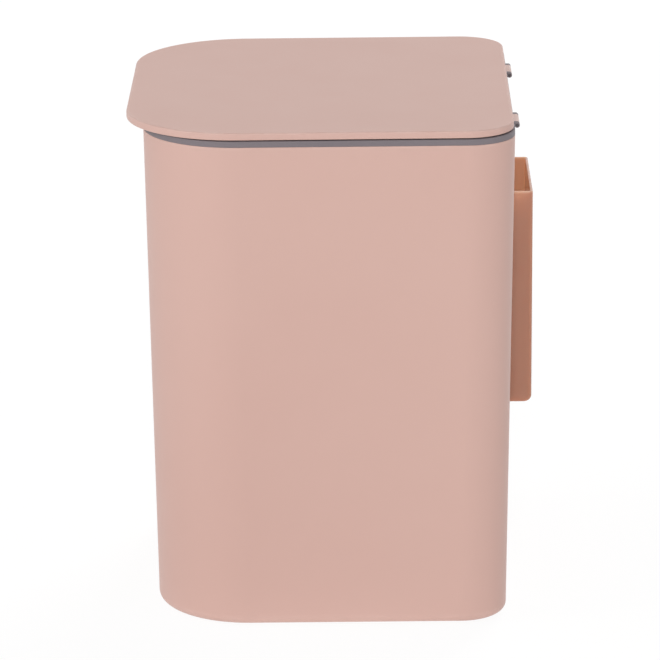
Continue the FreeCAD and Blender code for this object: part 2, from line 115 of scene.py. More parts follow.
def makeSky(look):
    world = bpy.data.worlds.new("studioSky")
    world.use_nodes = True
    nodes, links = world.node_tree.nodes, world.node_tree.links
    nodes.clear()
    lit = nodes.new("ShaderNodeBackground")
    lit.inputs["Strength"].default_value = look["skyLight"]
    lit.inputs["Color"].default_value = (1, 1, 1, 1)
    seen = nodes.new("ShaderNodeBackground")
    seen.inputs["Strength"].default_value = look["background"]
    seen.inputs["Color"].default_value = (1, 1, 1, 1)
    mix = nodes.new("ShaderNodeMixShader")
    out = nodes.new("ShaderNodeOutputWorld")
    links.new(rayMask(nodes, links), mix.inputs[0])
    links.new(lit.outputs[0], mix.inputs[1])
    links.new(seen.outputs[0], mix.inputs[2])
    links.new(mix.outputs[0], out.inputs["Surface"])
    scene.world = world


def makeFloor(look):
    half = look["floorSize"] / 2
    mesh = bpy.data.meshes.new("paleFloor")
    corners = [(-half, -half, 0), (half, -half, 0), (half, half, 0), (-half, half, 0)]
    mesh.from_pydata(corners, [], [(0, 1, 2, 3)])
    floor = bpy.data.objects.new("paleFloor", mesh)
    scene.collection.objects.link(floor)
    material = bpy.data.materials.new("paleFloor")
    material.use_nodes = True
    nodes, links = material.node_tree.nodes, material.node_tree.links
    nodes.clear()
    matte = nodes.new("ShaderNodeBsdfDiffuse")
    matte.inputs["Color"].default_value = (look["floorColour"],) * 3 + (1,)
    glow = nodes.new("ShaderNodeEmission")
    glow.inputs["Color"].default_value = (1, 1, 1, 1)
    glow.inputs["Strength"].default_value = look["glowStrength"]
    share = nodes.new("ShaderNodeMath")
    share.operation = "MULTIPLY"
    share.inputs[1].default_value = look["floorGlow"]
    mix = nodes.new("ShaderNodeMixShader")
    out = nodes.new("ShaderNodeOutputMaterial")
    where = nodes.new("ShaderNodeTexCoord")
    away = nodes.new("ShaderNodeVectorMath")
    away.operation = "LENGTH"
    links.new(where.outputs["Object"], away.inputs[0])
    near, far = look["bounceNear"], look["bounceFar"]
    back = spread(nodes, links, away.outputs["Value"], near, far, look["bounce"], 0.0)
    most = nodes.new("ShaderNodeMath")
    most.operation = "MAXIMUM"
    links.new(rayMask(nodes, links), share.inputs[0])
    links.new(share.outputs[0], most.inputs[0])
    links.new(back, most.inputs[1])
    links.new(most.outputs[0], mix.inputs[0])
    links.new(matte.outputs[0], mix.inputs[1])
    links.new(glow.outputs[0], mix.inputs[2])
    links.new(mix.outputs[0], out.inputs["Surface"])
    mesh.materials.append(material)


def makeLamps(look):
    aim = Vector(look["lampAim"])
    for name, (around, up, size, watts) in look["lamps"].items():
        turn, rise = math.radians(around), math.radians(up)
        side = Vector((math.cos(turn), math.sin(turn), 0)) * math.cos(rise)
        away = side + Vector((0, 0, math.sin(rise)))
        data = bpy.data.lights.new(name, "AREA")
        data.shape = "SQUARE"
        data.size = size
        data.energy = watts
        lamp = bpy.data.objects.new(name, data)
        lamp.location = aim + away * look["lampDistance"]
        lamp.rotation_euler = (-away).to_track_quat("-Z", "Y").to_euler()
        lamp.visible_glossy = False  # gloss mirrors the white room, not the lamps
        scene.collection.objects.link(lamp)


makeSky(studio)
makeFloor(studio)
makeLamps(studio)
scene.view_settings.view_transform = "Standard"
print("floor and lamps set")

# Finishes: colours as seen on screen, from 0 to 255

finishes = {
    # The third colour of each finish is the pale edge colour, for rubbed edges and for painted
    # highlights on rounded edges
    "satinPink": {
        "colour": (216, 179, 168), "deep": (214, 176, 165), "wornAndHighlight": (224, 192, 182),
        "cloudScale": 7.0, "grainScale": 3200.0, "grainDepth": 0.00003, "grainStrength": 0.10,
        "roughLow": 0.44, "roughHigh": 0.47, "gloss": 0.38,
    },
    "palePink": {  # knuckles: a paler copy of the lid's pink, a painted highlight where light falls on their tops
        "colour": (224, 197, 189), "deep": (220, 193, 185), "wornAndHighlight": (228, 206, 199),
        "cloudScale": 30.0, "grainScale": 3200.0, "grainDepth": 0.00003, "grainStrength": 0.10,
        "roughLow": 0.40, "roughHigh": 0.46, "gloss": 0.38,
    },
    "satinGrey": {
        "colour": (133, 125, 129), "deep": (127, 119, 123), "wornAndHighlight": (146, 140, 144),
        "cloudScale": 9.0, "grainScale": 3000.0, "grainDepth": 0.00003, "grainStrength": 0.10,
        "roughLow": 0.46, "roughHigh": 0.52, "gloss": 0.2,
    },
    "satinTerracotta": {
        "colour": (188, 132, 108), "deep": (184, 127, 102), "wornAndHighlight": (212, 168, 148),
        "cloudScale": 14.0, "grainScale": 3000.0, "grainDepth": 0.00003, "grainStrength": 0.10,
        "roughLow": 0.11, "roughHigh": 0.16, "gloss": 0.45,
        "glowThrough": 0.72, "glowReach": (0.0086, 0.0076, 0.0064),
    },
    "padRubber": {
        "colour": (96, 93, 94), "deep": (78, 76, 77), "wornAndHighlight": (120, 116, 116),
        "cloudScale": 160.0, "grainScale": 2200.0, "grainDepth": 0.00006, "grainStrength": 0.25,
        "roughLow": 0.66, "roughHigh": 0.82, "gloss": 0.3,
    },
}
pinSteel = {
    "colour": (112, 110, 112), "deep": (92, 90, 92),
    "lineScale": 6000.0, "lineDetail": 2.0, "drawn": (0.04, 1, 1),
    "roughLow": 0.22, "roughHigh": 0.4,
}
wear = {
    "noise": (0.3, 0.7),  # the part of the noise that is used
    "scuffAndHighlightFiner": 12, "handledFiner": 4,  # how much finer than the colour's drift
    "scuffAndHighlight": (0.35, 0.65, 0.15, 0.8),  # part of the noise, least and most pale edge paint, which is rubbing wear and painted highlight
}


def onScreen(colour):
    levels = [part / 255 for part in colour]
    linear = [v / 12.92 if v <= 0.04045 else ((v + 0.055) / 1.055) ** 2.4 for v in levels]
    return (*linear, 1)


def placedPattern(nodes, links, scale, detail=3.0, stretch=(1, 1, 1)):
    # Noise on the piece's own coordinates
    where = nodes.new("ShaderNodeTexCoord")
    mapping = nodes.new("ShaderNodeMapping")
    mapping.inputs["Scale"].default_value = stretch
    noise = nodes.new("ShaderNodeTexNoise")
    noise.inputs["Scale"].default_value = scale
    noise.inputs["Detail"].default_value = detail
    links.new(where.outputs["Object"], mapping.inputs["Vector"])
    links.new(mapping.outputs["Vector"], noise.inputs["Vector"])
    return noise


def mixColours(nodes, links, factor, first, second):
    mix = nodes.new("ShaderNodeMix")
    mix.data_type = "RGBA"
    links.new(factor, mix.inputs["Factor"])
    for name, source in (("A", first), ("B", second)):
        socket = [s for s in mix.inputs if s.name == name and s.type == "RGBA"][0]
        if isinstance(source, tuple):
            socket.default_value = source
        else:
            links.new(source, socket)
    return [s for s in mix.outputs if s.type == "RGBA"][0]


def mouldedPlastic(name, look):
    # Broad colour drift, pale edges that are rubbing wear and, on some rounds, a painted highlight, and
    # a fine spark-eroded grain
    material = bpy.data.materials.new(name)
    material.use_nodes = True
    nodes, links = material.node_tree.nodes, material.node_tree.links
    shader = nodes["Principled BSDF"]
    shader.inputs["Specular IOR Level"].default_value = look["gloss"]
    if "glowThrough" in look:  # thin walls let some light through
        shader.inputs["Subsurface Weight"].default_value = look["glowThrough"]
        shader.inputs["Subsurface Radius"].default_value = look["glowReach"]
        shader.inputs["Subsurface Scale"].default_value = 1.0
    cloud = placedPattern(nodes, links, look["cloudScale"])
    drift = spread(nodes, links, cloud.outputs["Fac"], *wear["noise"], 0.0, 1.0)
    base = mixColours(nodes, links, drift, onScreen(look["colour"]), onScreen(look["deep"]))
    # Pale edge paint from the vertex share, broken up by noise: rubbing wear, and on the lid's rounds
    # and the pocket's rim a painted highlight
    edge = nodes.new("ShaderNodeAttribute")
    edge.attribute_name = "rubbedEdge"
    scuffAndHighlight = placedPattern(nodes, links, look["cloudScale"] * wear["scuffAndHighlightFiner"])
    wearAndHighlightShare = nodes.new("ShaderNodeMath")
    wearAndHighlightShare.operation = "MULTIPLY"
    links.new(edge.outputs["Fac"], wearAndHighlightShare.inputs[0])
    links.new(spread(nodes, links, scuffAndHighlight.outputs["Fac"], *wear["scuffAndHighlight"]), wearAndHighlightShare.inputs[1])
    paint = mixColours(nodes, links, wearAndHighlightShare.outputs[0], base, onScreen(look["wornAndHighlight"]))
    links.new(paint, shader.inputs["Base Color"])
    handled = placedPattern(nodes, links, look["cloudScale"] * wear["handledFiner"])
    rough = look["roughLow"], look["roughHigh"]
    dull = spread(nodes, links, handled.outputs["Fac"], *wear["noise"], *rough)
    links.new(dull, shader.inputs["Roughness"])
    grain = placedPattern(nodes, links, look["grainScale"])
    bump = nodes.new("ShaderNodeBump")
    bump.inputs["Strength"].default_value = look["grainStrength"]
    bump.inputs["Distance"].default_value = look["grainDepth"]
    links.new(grain.outputs["Fac"], bump.inputs["Height"])
    links.new(bump.outputs["Normal"], shader.inputs["Normal"])
    return material


def drawnWire(name, look):
    # Darkened steel with fine lines along the wire
    material = bpy.data.materials.new(name)
    material.use_nodes = True
    nodes, links = material.node_tree.nodes, material.node_tree.links
    shader = nodes["Principled BSDF"]
    shader.inputs["Metallic"].default_value = 1.0
    noise = placedPattern(nodes, links, look["lineScale"], look["lineDetail"], look["drawn"])
    lines = noise.outputs["Fac"]
    shade = spread(nodes, links, lines, *wear["noise"], 0.0, 1.0)
    tint = mixColours(nodes, links, shade, onScreen(look["colour"]), onScreen(look["deep"]))
    links.new(tint, shader.inputs["Base Color"])
    dull = spread(nodes, links, lines, *wear["noise"], look["roughLow"], look["roughHigh"])
    links.new(dull, shader.inputs["Roughness"])
    return material


materials = {name: mouldedPlastic(name, look) for name, look in finishes.items()}
materials["pinSteel"] = drawnWire("pinSteel", pinSteel)
print("finishes made:", len(materials))

# Outlines that the tub, ring and lid share: half width, front, back, front and rear corner radius

tub = {
    "halfWidth": 120.0, "front": -103.9, "back": 101.6, "frontRadius": 53.3, "rearRadius": 26.0,
    "footStand": 1.0, "height": 277.1, "sideTaper": 4.0, "frontTaper": 2.8, "rearTaper": 5.3,
    "wall": 2.2, "floor": 6.0, "floorRound": 6.0, "floorBand": 13.5,
    "bottomRound": 4.8, "bottomBand": 7.0, "rimRound": 0.45,
    "standWidth": 18.0, "standTop": 3.5, "standRound": 0.6,
    "rimBand": 12.0, "wearAndHighlightBand": 2.0, "wearAndHighlightRim": 0.5, "rubbedBottom": 0.25, "rubbedStand": 0.2,
    "cornerSteps": 28, "roundSteps": 8, "fineSteps": 4, "leastRadius": 0.3,
}
rimLevel = tub["footStand"] + tub["height"]


def tubOutline(z):
    share = (rimLevel - z) / tub["height"]
    return (
        tub["halfWidth"] - tub["sideTaper"] * share,
        tub["front"] + tub["frontTaper"] * share,
        tub["back"] - tub["rearTaper"] * share,
        tub["frontRadius"], tub["rearRadius"],
    )


def drawnIn(outline, step):
    half, front, back, *radii = outline
    radii = [max(radius - step, tub["leastRadius"]) for radius in radii]
    return (half - step, front + step, back - step, *radii)


def outlineLoop(outline, z, steps):
    # One closed loop, anticlockwise from the front right corner
    half, front, back, frontRadius, rearRadius = outline
    bends = [
        (half - frontRadius, front + frontRadius, frontRadius, -90),
        (half - rearRadius, back - rearRadius, rearRadius, 0),
        (rearRadius - half, back - rearRadius, rearRadius, 90),
        (frontRadius - half, front + frontRadius, frontRadius, 180),
    ]
    loop = []
    for x, y, radius, start in bends:
        for step in range(steps + 1):
            angle = math.radians(start + 90 * step / steps)
            loop.append((x + radius * math.cos(angle), y + radius * math.sin(angle), z))
    return loop


def bend(cx, cz, radius, start, end, steps):
    # Points of an arc in the plane of inset and height
    turn = [math.radians(start + (end - start) * step / steps) for step in range(steps + 1)]
    return [(cx + radius * math.cos(angle), cz + radius * math.sin(angle)) for angle in turn]


def addLoops(shell, loops, closed=False, capStart=False, capEnd=False):
    # Bridges loops of equal length into a band; a loop is (points, share of pale edge paint, which is
    # wear and on some rounds a painted highlight)
    edgeLayer = shell.verts.layers.float.get("rubbedEdge") or shell.verts.layers.float.new("rubbedEdge")
    rows = []
    for points, wearAndHighlightShare in loops:
        row = [shell.verts.new([part * mm for part in point]) for point in points]
        for vert in row:
            vert[edgeLayer] = wearAndHighlightShare
        rows.append(row)
    pairs = list(zip(rows, rows[1:]))
    if closed:
        pairs.append((rows[-1], rows[0]))
    for low, high in pairs:
        count = len(low)
        for step in range(count):
            after = (step + 1) % count
            shell.faces.new((low[step], low[after], high[after], high[step]))
    if capStart:
        shell.faces.new(list(reversed(rows[0])))
    if capEnd:
        shell.faces.new(rows[-1])


def asMesh(shell, name):
    bmesh.ops.recalc_face_normals(shell, faces=shell.faces)
    mesh = bpy.data.meshes.new(name)
    shell.to_mesh(mesh)
    shell.free()
    return mesh


def asObject(mesh, name):
    piece = bpy.data.objects.new(name, mesh)
    scene.collection.objects.link(piece)
    return piece


def drop(piece):
    mesh = piece.data
    bpy.data.objects.remove(piece)
    if mesh.users == 0:
        bpy.data.meshes.remove(mesh)


def settled(piece, sharp=40):
    # Keeps flat faces flat beside their rounded edges; edges past the angle, in degrees, stay sharp
    piece.data.polygons.foreach_set("use_smooth", [True] * len(piece.data.polygons))
    piece.data.set_sharp_from_angle(angle=math.radians(sharp))
    even = piece.modifiers.new("evenShade", "WEIGHTED_NORMAL")
    even.keep_sharp = True
    even.weight = 80
    plainMesh(piece)


def plainMesh(piece):
    graph = bpy.context.evaluated_depsgraph_get()
    graph.update()
    made = bpy.data.meshes.new_from_object(piece.evaluated_get(graph))
    old = piece.data
    piece.modifiers.clear()
    piece.data = made
    made.name = piece.name
    if old.users == 0:
        bpy.data.meshes.remove(old)


def finished(piece, finish, body, slot, *nodes):
    piece.data.materials.clear()
    piece.data.materials.append(materials[finish])
    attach(piece, body)
    if nodes:
        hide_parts(*nodes)


def bar(shell, low, high):
    # A box between two corners
    middle = [(a + b) / 2 * mm for a, b in zip(low, high)]
    size = [(b - a) * mm for a, b in zip(low, high)]
    place = Matrix.Translation(middle) @ Matrix.Diagonal((*size, 1))
    bmesh.ops.create_cube(shell, size=1.0, matrix=place)


def carve(piece, boxes):
    # Cuts boxes, given as low and high corners, out of a closed piece
    tool = bmesh.new()
    for low, high in boxes:
        bar(tool, low, high)
    cutter = asObject(asMesh(tool, "cutter"), "cutter")
    cut = piece.modifiers.new("cut", "BOOLEAN")
    cut.operation = "DIFFERENCE"
    cut.solver = "EXACT"
    cut.object = cutter
    plainMesh(piece)
    drop(cutter)


# Tub

def tubProfile():
    # Inset, height and share of pale edge paint from the inner floor, over the rim, to the recess under
    # the tub
    steps, fine, wall, rim = tub["roundSteps"], tub["fineSteps"], tub["wall"], tub["rimRound"]
    inner, outer, stand = tub["floorRound"], tub["bottomRound"], tub["standRound"]
    edge, foot = tub["standWidth"], tub["footStand"]
    bands = [rimLevel - tub["rimBand"], rimLevel - tub["wearAndHighlightBand"]]
    run = [(*p, 0.0) for p in bend(wall + inner, tub["floor"] + inner, inner, 270, 180, steps)]
    run += [(wall, z, 0.0) for z in (tub["floorBand"], *bands)]
    run += [(*p, tub["wearAndHighlightRim"]) for p in bend(wall - rim, rimLevel - rim, rim, 0, 90, fine)]
    run += [(*p, tub["wearAndHighlightRim"]) for p in bend(rim, rimLevel - rim, rim, 90, 180, fine)]
    run += [(0.0, z, 0.0) for z in (*reversed(bands), tub["bottomBand"])]
    run += [(*p, tub["rubbedBottom"]) for p in bend(outer, foot + outer, outer, 180, 270, steps)]
    run += [(*p, tub["rubbedStand"]) for p in bend(edge - stand, foot + stand, stand, 270, 360, fine)]
    run.append((edge, tub["standTop"], 0.0))
    return run


def makeTub():
    loops = []
    inside = True
    for inset, z, wearAndHighlightShare in tubProfile():
        inside = inside and z < rimLevel - tub["rimRound"] / 2
        level = max(z, tub["floorBand"] if inside else tub["bottomBand"])
        outline = drawnIn(tubOutline(level), inset)
        loops.append((outlineLoop(outline, z, tub["cornerSteps"]), wearAndHighlightShare))
    shell = bmesh.new()
    addLoops(shell, loops, capStart=True, capEnd=True)
    piece = asObject(asMesh(shell, "tubShell"), "tubShell")
    settled(piece)
    finished(piece, "satinPink", "tub", "pink_plastic", "body_shell")


makeTub()
print("tub made")

# Lid

lid = {
    "halfWidth": 120.0, "front": -113.6, "back": 100.9, "frontRadius": 63.0, "rearRadius": 26.6,
    "low": 282.1, "edge": 4.1, "skin": 2.0, "skirt": 1.8,
    "topRound": 1.2, "lowRound": 0.5, "innerRound": 0.3, "topBand": 0.8,
    # Pale edge paint on the lid: on the top round, the side band and the lower lip it is a painted
    # highlight
    "wearAndHighlightTop": 0.9, "wearAndHighlightFlat": 0.05, "wearAndHighlightLow": 0.1, "rubbedInner": 0.2,
    "locatorInset": 6.5, "locatorWall": 1.6, "locatorDepth": 3.0, "locatorRound": 0.4,
    "sink": 0.2,  # how far the locator and the hinge arms reach into the skin
    "cornerSteps": 32, "roundSteps": 9, "lowSteps": 5, "innerSteps": 3, "fineSteps": 4,
}
lidOutline = tuple(lid[key] for key in ("halfWidth", "front", "back", "frontRadius", "rearRadius"))
lidTop = lid["low"] + lid["edge"]
lidCeiling = lidTop - lid["skin"]


def lidProfile():
    top, low, inner, flat = lid["topRound"], lid["lowRound"], lid["innerRound"], lid["wearAndHighlightFlat"]
    over = bend(top, lidTop - top, top, 90, 180, lid["roundSteps"])
    # The top round's upper part and the lower lip are painted paler, a painted highlight
    run = [(top + lid["topBand"], lidTop, flat)]
    run += [(*p, lid["wearAndHighlightTop"]) for p in over[:-2]]
    run += [(*p, flat) for p in over[-2:]]
    run += [(*p, lid["wearAndHighlightLow"]) for p in bend(low, lid["low"] + low, low, 180, 270, lid["lowSteps"])]
    under = bend(lid["skirt"] - inner, lid["low"] + inner, inner, 270, 360, lid["innerSteps"])
    run += [(*p, lid["rubbedInner"]) for p in under]
    run.append((lid["skirt"], lidCeiling, 0.0))
    return run


def locatorSection():
    outer, inner = lid["locatorInset"], lid["locatorInset"] + lid["locatorWall"]
    foot, soft, fine = lid["low"] - lid["locatorDepth"], lid["locatorRound"], lid["fineSteps"]
    run = [(outer, lidCeiling + lid["sink"])]
    run += bend(outer + soft, foot + soft, soft, 180, 270, fine)
    run += bend(inner - soft, foot + soft, soft, 270, 360, fine)
    run.append((inner, lidCeiling + lid["sink"]))
    return run


def makeLid():
    steps, rim = lid["cornerSteps"], tubOutline(rimLevel)
    shell = bmesh.new()
    loops = [(outlineLoop(drawnIn(lidOutline, inset), z, steps), wearAndHighlightShare)
             for inset, z, wearAndHighlightShare in lidProfile()]
    addLoops(shell, loops, capStart=True, capEnd=True)
    loops = [(outlineLoop(drawnIn(rim, inset), z, steps), 0.0) for inset, z in locatorSection()]
    addLoops(shell, loops, closed=True)
    piece = asObject(asMesh(shell, "lidShell"), "lidShell")
    settled(piece)
    finished(piece, "satinPink", "lid", "pink_plastic", "lid")


makeLid()
print("lid made")

# Node trees

def newTree(name, sockets):
    # An empty tree with named inputs, and the identifier of each
    tree = bpy.data.node_groups.new(name, "GeometryNodeTree")
    tree.interface.new_socket("Geometry", in_out="OUTPUT", socket_type="NodeSocketGeometry")
    marks = {}
    for label, kind in sockets:
        socket = tree.interface.new_socket(label, in_out="INPUT", socket_type="NodeSocket" + kind)
        marks[label] = socket.identifier
    return tree, marks


def endTree(tree, geometry, finish):
    # Realize, paint and hand out
    nodes, links = tree.nodes, tree.links
    real = nodes.new("GeometryNodeRealizeInstances")
    paint = nodes.new("GeometryNodeSetMaterial")
    out = nodes.new("NodeGroupOutput")
    links.new(geometry, real.inputs["Geometry"])
    links.new(real.outputs["Geometry"], paint.inputs["Geometry"])
    links.new(finish, paint.inputs["Material"])
    links.new(paint.outputs["Geometry"], out.inputs["Geometry"])


def rowTree():
    # The same pattern at even steps along a line
    sockets = [("Pattern", "Object"), ("Count", "Int"), ("Start", "Vector"), ("Step", "Vector"),
               ("Finish", "Material")]
    tree, marks = newTree("rowOfPieces", sockets)
    nodes, links = tree.nodes, tree.links
    given = nodes.new("NodeGroupInput")
    line = nodes.new("GeometryNodeMeshLine")
    line.mode = "OFFSET"
    links.new(given.outputs["Count"], line.inputs["Count"])
    links.new(given.outputs["Start"], line.inputs["Start Location"])
    links.new(given.outputs["Step"], line.inputs["Offset"])
    source = nodes.new("GeometryNodeObjectInfo")
    links.new(given.outputs["Pattern"], source.inputs["Object"])
    put = nodes.new("GeometryNodeInstanceOnPoints")
    links.new(line.outputs["Mesh"], put.inputs["Points"])
    links.new(source.outputs["Geometry"], put.inputs["Instance"])
    endTree(tree, put.outputs["Instances"], given.outputs["Finish"])
    return tree, marks


def sweepTree():
    # A section carried round the tub's outline, which has its own front and rear corners
    sockets = [("Width", "Float"), ("Depth", "Float"), ("Middle", "Float"), ("Front Radius", "Float"),
               ("Rear Radius", "Float"), ("Corner Steps", "Int"), ("Section", "Object"),
               ("Finish", "Material")]
    tree, marks = newTree("sweptRim", sockets)
    nodes, links = tree.nodes, tree.links
    given = nodes.new("NodeGroupInput")
    frameCurve = nodes.new("GeometryNodeCurvePrimitiveQuadrilateral")
    links.new(given.outputs["Width"], frameCurve.inputs["Width"])
    links.new(given.outputs["Depth"], frameCurve.inputs["Height"])
    shift = nodes.new("ShaderNodeCombineXYZ")
    links.new(given.outputs["Middle"], shift.inputs["Y"])
    placed = nodes.new("GeometryNodeSetPosition")
    links.new(frameCurve.outputs["Curve"], placed.inputs["Geometry"])
    links.new(shift.outputs["Vector"], placed.inputs["Offset"])
    where = nodes.new("GeometryNodeInputPosition")
    split = nodes.new("ShaderNodeSeparateXYZ")
    links.new(where.outputs["Position"], split.inputs["Vector"])
    isFront = nodes.new("FunctionNodeCompare")
    isFront.data_type = "FLOAT"
    isFront.operation = "LESS_THAN"
    links.new(split.outputs["Y"], isFront.inputs["A"])
    links.new(given.outputs["Middle"], isFront.inputs["B"])
    radius = nodes.new("GeometryNodeSwitch")
    radius.input_type = "FLOAT"
    links.new(isFront.outputs["Result"], radius.inputs["Switch"])
    links.new(given.outputs["Rear Radius"], radius.inputs["False"])
    links.new(given.outputs["Front Radius"], radius.inputs["True"])
    rounded = nodes.new("GeometryNodeFilletCurve")
    rounded.mode = "POLY"
    links.new(placed.outputs["Geometry"], rounded.inputs["Curve"])
    links.new(radius.outputs["Output"], rounded.inputs["Radius"])
    links.new(given.outputs["Corner Steps"], rounded.inputs["Count"])
    level = nodes.new("GeometryNodeSetCurveNormal")
    level.mode = "Z_UP"
    links.new(rounded.outputs["Curve"], level.inputs["Curve"])
    source = nodes.new("GeometryNodeObjectInfo")
    links.new(given.outputs["Section"], source.inputs["Object"])
    swept = nodes.new("GeometryNodeCurveToMesh")
    links.new(level.outputs["Curve"], swept.inputs["Curve"])
    links.new(source.outputs["Geometry"], swept.inputs["Profile Curve"])
    endTree(tree, swept.outputs["Mesh"], given.outputs["Finish"])
    return tree, marks


trees = {"row": rowTree(), "sweep": sweepTree()}


def grown(name, kind, **given):
    # A piece made by one of the trees, as a plain mesh
    tree, marks = trees[kind]
    piece = asObject(bpy.data.meshes.new(name), name)
    grow = piece.modifiers.new(kind, "NODES")
    grow.node_group = tree
    for label, setting in given.items():
        grow[marks[label.replace("_", " ")]] = setting
    plainMesh(piece)
    return piece


def cleaned(piece, weld=0.000002):
    # Joins points closer than the weld, in metres
    shell = bmesh.new()
    shell.from_mesh(piece.data)
    bmesh.ops.remove_doubles(shell, verts=shell.verts, dist=weld)
    bmesh.ops.recalc_face_normals(shell, faces=shell.faces)
    shell.to_mesh(piece.data)
    shell.free()


def pieceRow(name, build, count, start, step, finish, body, slot, *nodes):
    # One piece that repeats a shape along a line
    shell = bmesh.new()
    build(shell)
    pattern = asObject(asMesh(shell, name + "Pattern"), name + "Pattern")
    piece = grown(name, "row", Pattern=pattern, Count=count, Start=[part * mm for part in start],
                  Step=[part * mm for part in step], Finish=materials[finish])
    drop(pattern)
    settled(piece, sharp=35)
    finished(piece, finish, body, slot, *nodes)


def pairOf(name, build, spacing, y, finish, body, slot, *nodes):
    # The same shape left and right
    pieceRow(name, build, 2, (-spacing / 2, y, 0), (spacing, 0, 0), finish, body, slot, *nodes)


def slab(shell, outer, holes, low, high, plane="YZ"):
    # A flat shape with holes, given in two axes, thickened along the third
    def at(a, b, c):
        point = {"YZ": (c, a, b), "XZ": (a, c, b)}[plane]
        return shell.verts.new([part * mm for part in point])

    edges = []
    for border in [outer] + holes:
        verts = [at(a, b, low) for a, b in border]
        edges += [shell.edges.new((verts[i - 1], verts[i])) for i in range(len(verts))]
    filled = bmesh.ops.triangle_fill(shell, edges=edges, use_beauty=True, use_dissolve=False)
    faces = [item for item in filled["geom"] if isinstance(item, bmesh.types.BMFace)]
    raised = bmesh.ops.extrude_face_region(shell, geom=faces, use_keep_orig=True)
    moved = [item for item in raised["geom"] if isinstance(item, bmesh.types.BMVert)]
    axis = {"YZ": (1, 0, 0), "XZ": (0, 1, 0)}[plane]
    bmesh.ops.translate(shell, verts=moved, vec=Vector(axis) * (high - low) * mm)


def disc(radius, steps=40):
    turn = [math.tau * n / steps for n in range(steps)]
    return [(radius * math.cos(angle), radius * math.sin(angle)) for angle in turn]


def turned(shell, run, axis, steps=40):
    # A closed turned shape: radius and height pairs round an axis
    rows = []
    for radius, height in run:
        points = [{"Z": (a, b, height), "X": (height, a, b)}[axis] for a, b in disc(radius, steps)]
        rows.append([shell.verts.new([part * mm for part in point]) for point in points])
    for low, high in zip(rows, rows[1:]):
        for n in range(steps):
            after = (n + 1) % steps
            shell.faces.new((low[n], low[after], high[after], high[n]))
    shell.faces.new(list(reversed(rows[0])))
    shell.faces.new(rows[-1])


print("node trees built:", len(trees))

# Grey ring and its hinge ears

ring = {
    "height": 3.4, "inner": 4.9, "skirtOuter": 3.1, "skirtDepth": 16.0,
    "edgeRound": 0.5, "footRound": 0.3, "cornerSteps": 28, "edgeSteps": 4, "footSteps": 3,
}
hinge = {
    "spacing": 123.6, "knuckle": 17.0, "play": 0.3, "ear": 3.5, "barrel": 1.5, "axisY": 103.4,
    "pin": 0.8, "pinChamfer": 0.2, "pinRecess": 0.5, "earBore": 0.82, "knuckleBore": 0.86,
    "armFront": 99.1, "armBack": 100.9, "armClear": 0.3, "armGap": 0.6, "armTuck": 0.3,
    "armRound": 0.6, "armEase": 0.05, "heelEase": 0.15,
    "webRoot": 99.4, "earTuck": 0.03, "earLift": 0.02,
    "gapBelow": 5.0, "gapBehind": 5.0, "gapAbove": 9.0,  # the ring's cut for each knuckle
    "earSteps": 30, "boreSteps": 28, "armSteps": 12, "softSteps": 4,
}


def sectionCurve(name, points):
    curve = bpy.data.curves.new(name, "CURVE")
    curve.dimensions = "3D"
    line = curve.splines.new("POLY")
    line.points.add(len(points) - 1)
    for spot, (inset, z) in zip(line.points, points):
        spot.co = (-inset * mm, -z * mm, 0, 1)  # the sweep turns the section over
    line.use_cyclic_u = True
    holder = bpy.data.objects.new(name, curve)
    scene.collection.objects.link(holder)
    return holder


def ringSection():
    top, edge, foot = rimLevel + ring["height"], ring["edgeRound"], ring["footRound"]
    low, outer, inner = rimLevel - ring["skirtDepth"], ring["skirtOuter"], ring["inner"]
    edgeSteps, footSteps = ring["edgeSteps"], ring["footSteps"]
    run = bend(edge, top - edge, edge, 90, 180, edgeSteps)
    run += bend(foot, rimLevel + foot, foot, 180, 270, footSteps)
    run.append((outer, rimLevel))
    run += bend(outer + foot, low + foot, foot, 180, 270, footSteps)
    run += bend(inner - foot, low + foot, foot, 270, 360, footSteps)
    run += bend(inner - edge, top - edge, edge, 0, 90, edgeSteps)
    return run


def makeRing():
    section = sectionCurve("ringSection", ringSection())
    half, front, back, frontRadius, rearRadius = tubOutline(rimLevel)
    piece = grown(
        "bagRing", "sweep", Width=2 * half * mm, Depth=(back - front) * mm,
        Middle=(front + back) / 2 * mm, Front_Radius=frontRadius * mm,
        Rear_Radius=rearRadius * mm, Corner_Steps=ring["cornerSteps"],
        Section=section, Finish=materials["satinGrey"])
    bpy.data.objects.remove(section)
    cleaned(piece)
    reach = hinge["knuckle"] / 2 + hinge["play"]
    gapFront = hinge["armFront"] - hinge["armGap"]
    gaps = []
    for side in (-1, 1):
        x = side * hinge["spacing"] / 2
        low = (x - reach, gapFront, rimLevel - hinge["gapBelow"])
        high = (x + reach, back + hinge["gapBehind"], rimLevel + hinge["gapAbove"])
        gaps.append((low, high))
    carve(piece, gaps)
    settled(piece, sharp=30)
    finished(piece, "satinGrey", "ring", "grey_plastic", "bag_ring")


def earOutline():
    y, r, root, low = hinge["axisY"], hinge["barrel"], hinge["webRoot"], rimLevel + hinge["earLift"]
    run = [(root, low), (y - r, low)]
    run += bend(y, rimLevel, r, 180, 450, hinge["earSteps"])[1:]
    run.append((root, rimLevel + r))
    return run


def boreLoop(radius):
    # A round hole on the hinge's axis
    return [(hinge["axisY"] + a, rimLevel + b) for a, b in disc(radius, hinge["boreSteps"])]


def earPair(shell):
    inside = hinge["knuckle"] / 2 + hinge["play"]
    near, far = inside + hinge["earTuck"], inside + hinge["ear"]  # off the plane of the ring's gap
    for low, high in ((-far, -near), (near, far)):
        slab(shell, earOutline(), [boreLoop(hinge["earBore"])], low, high)


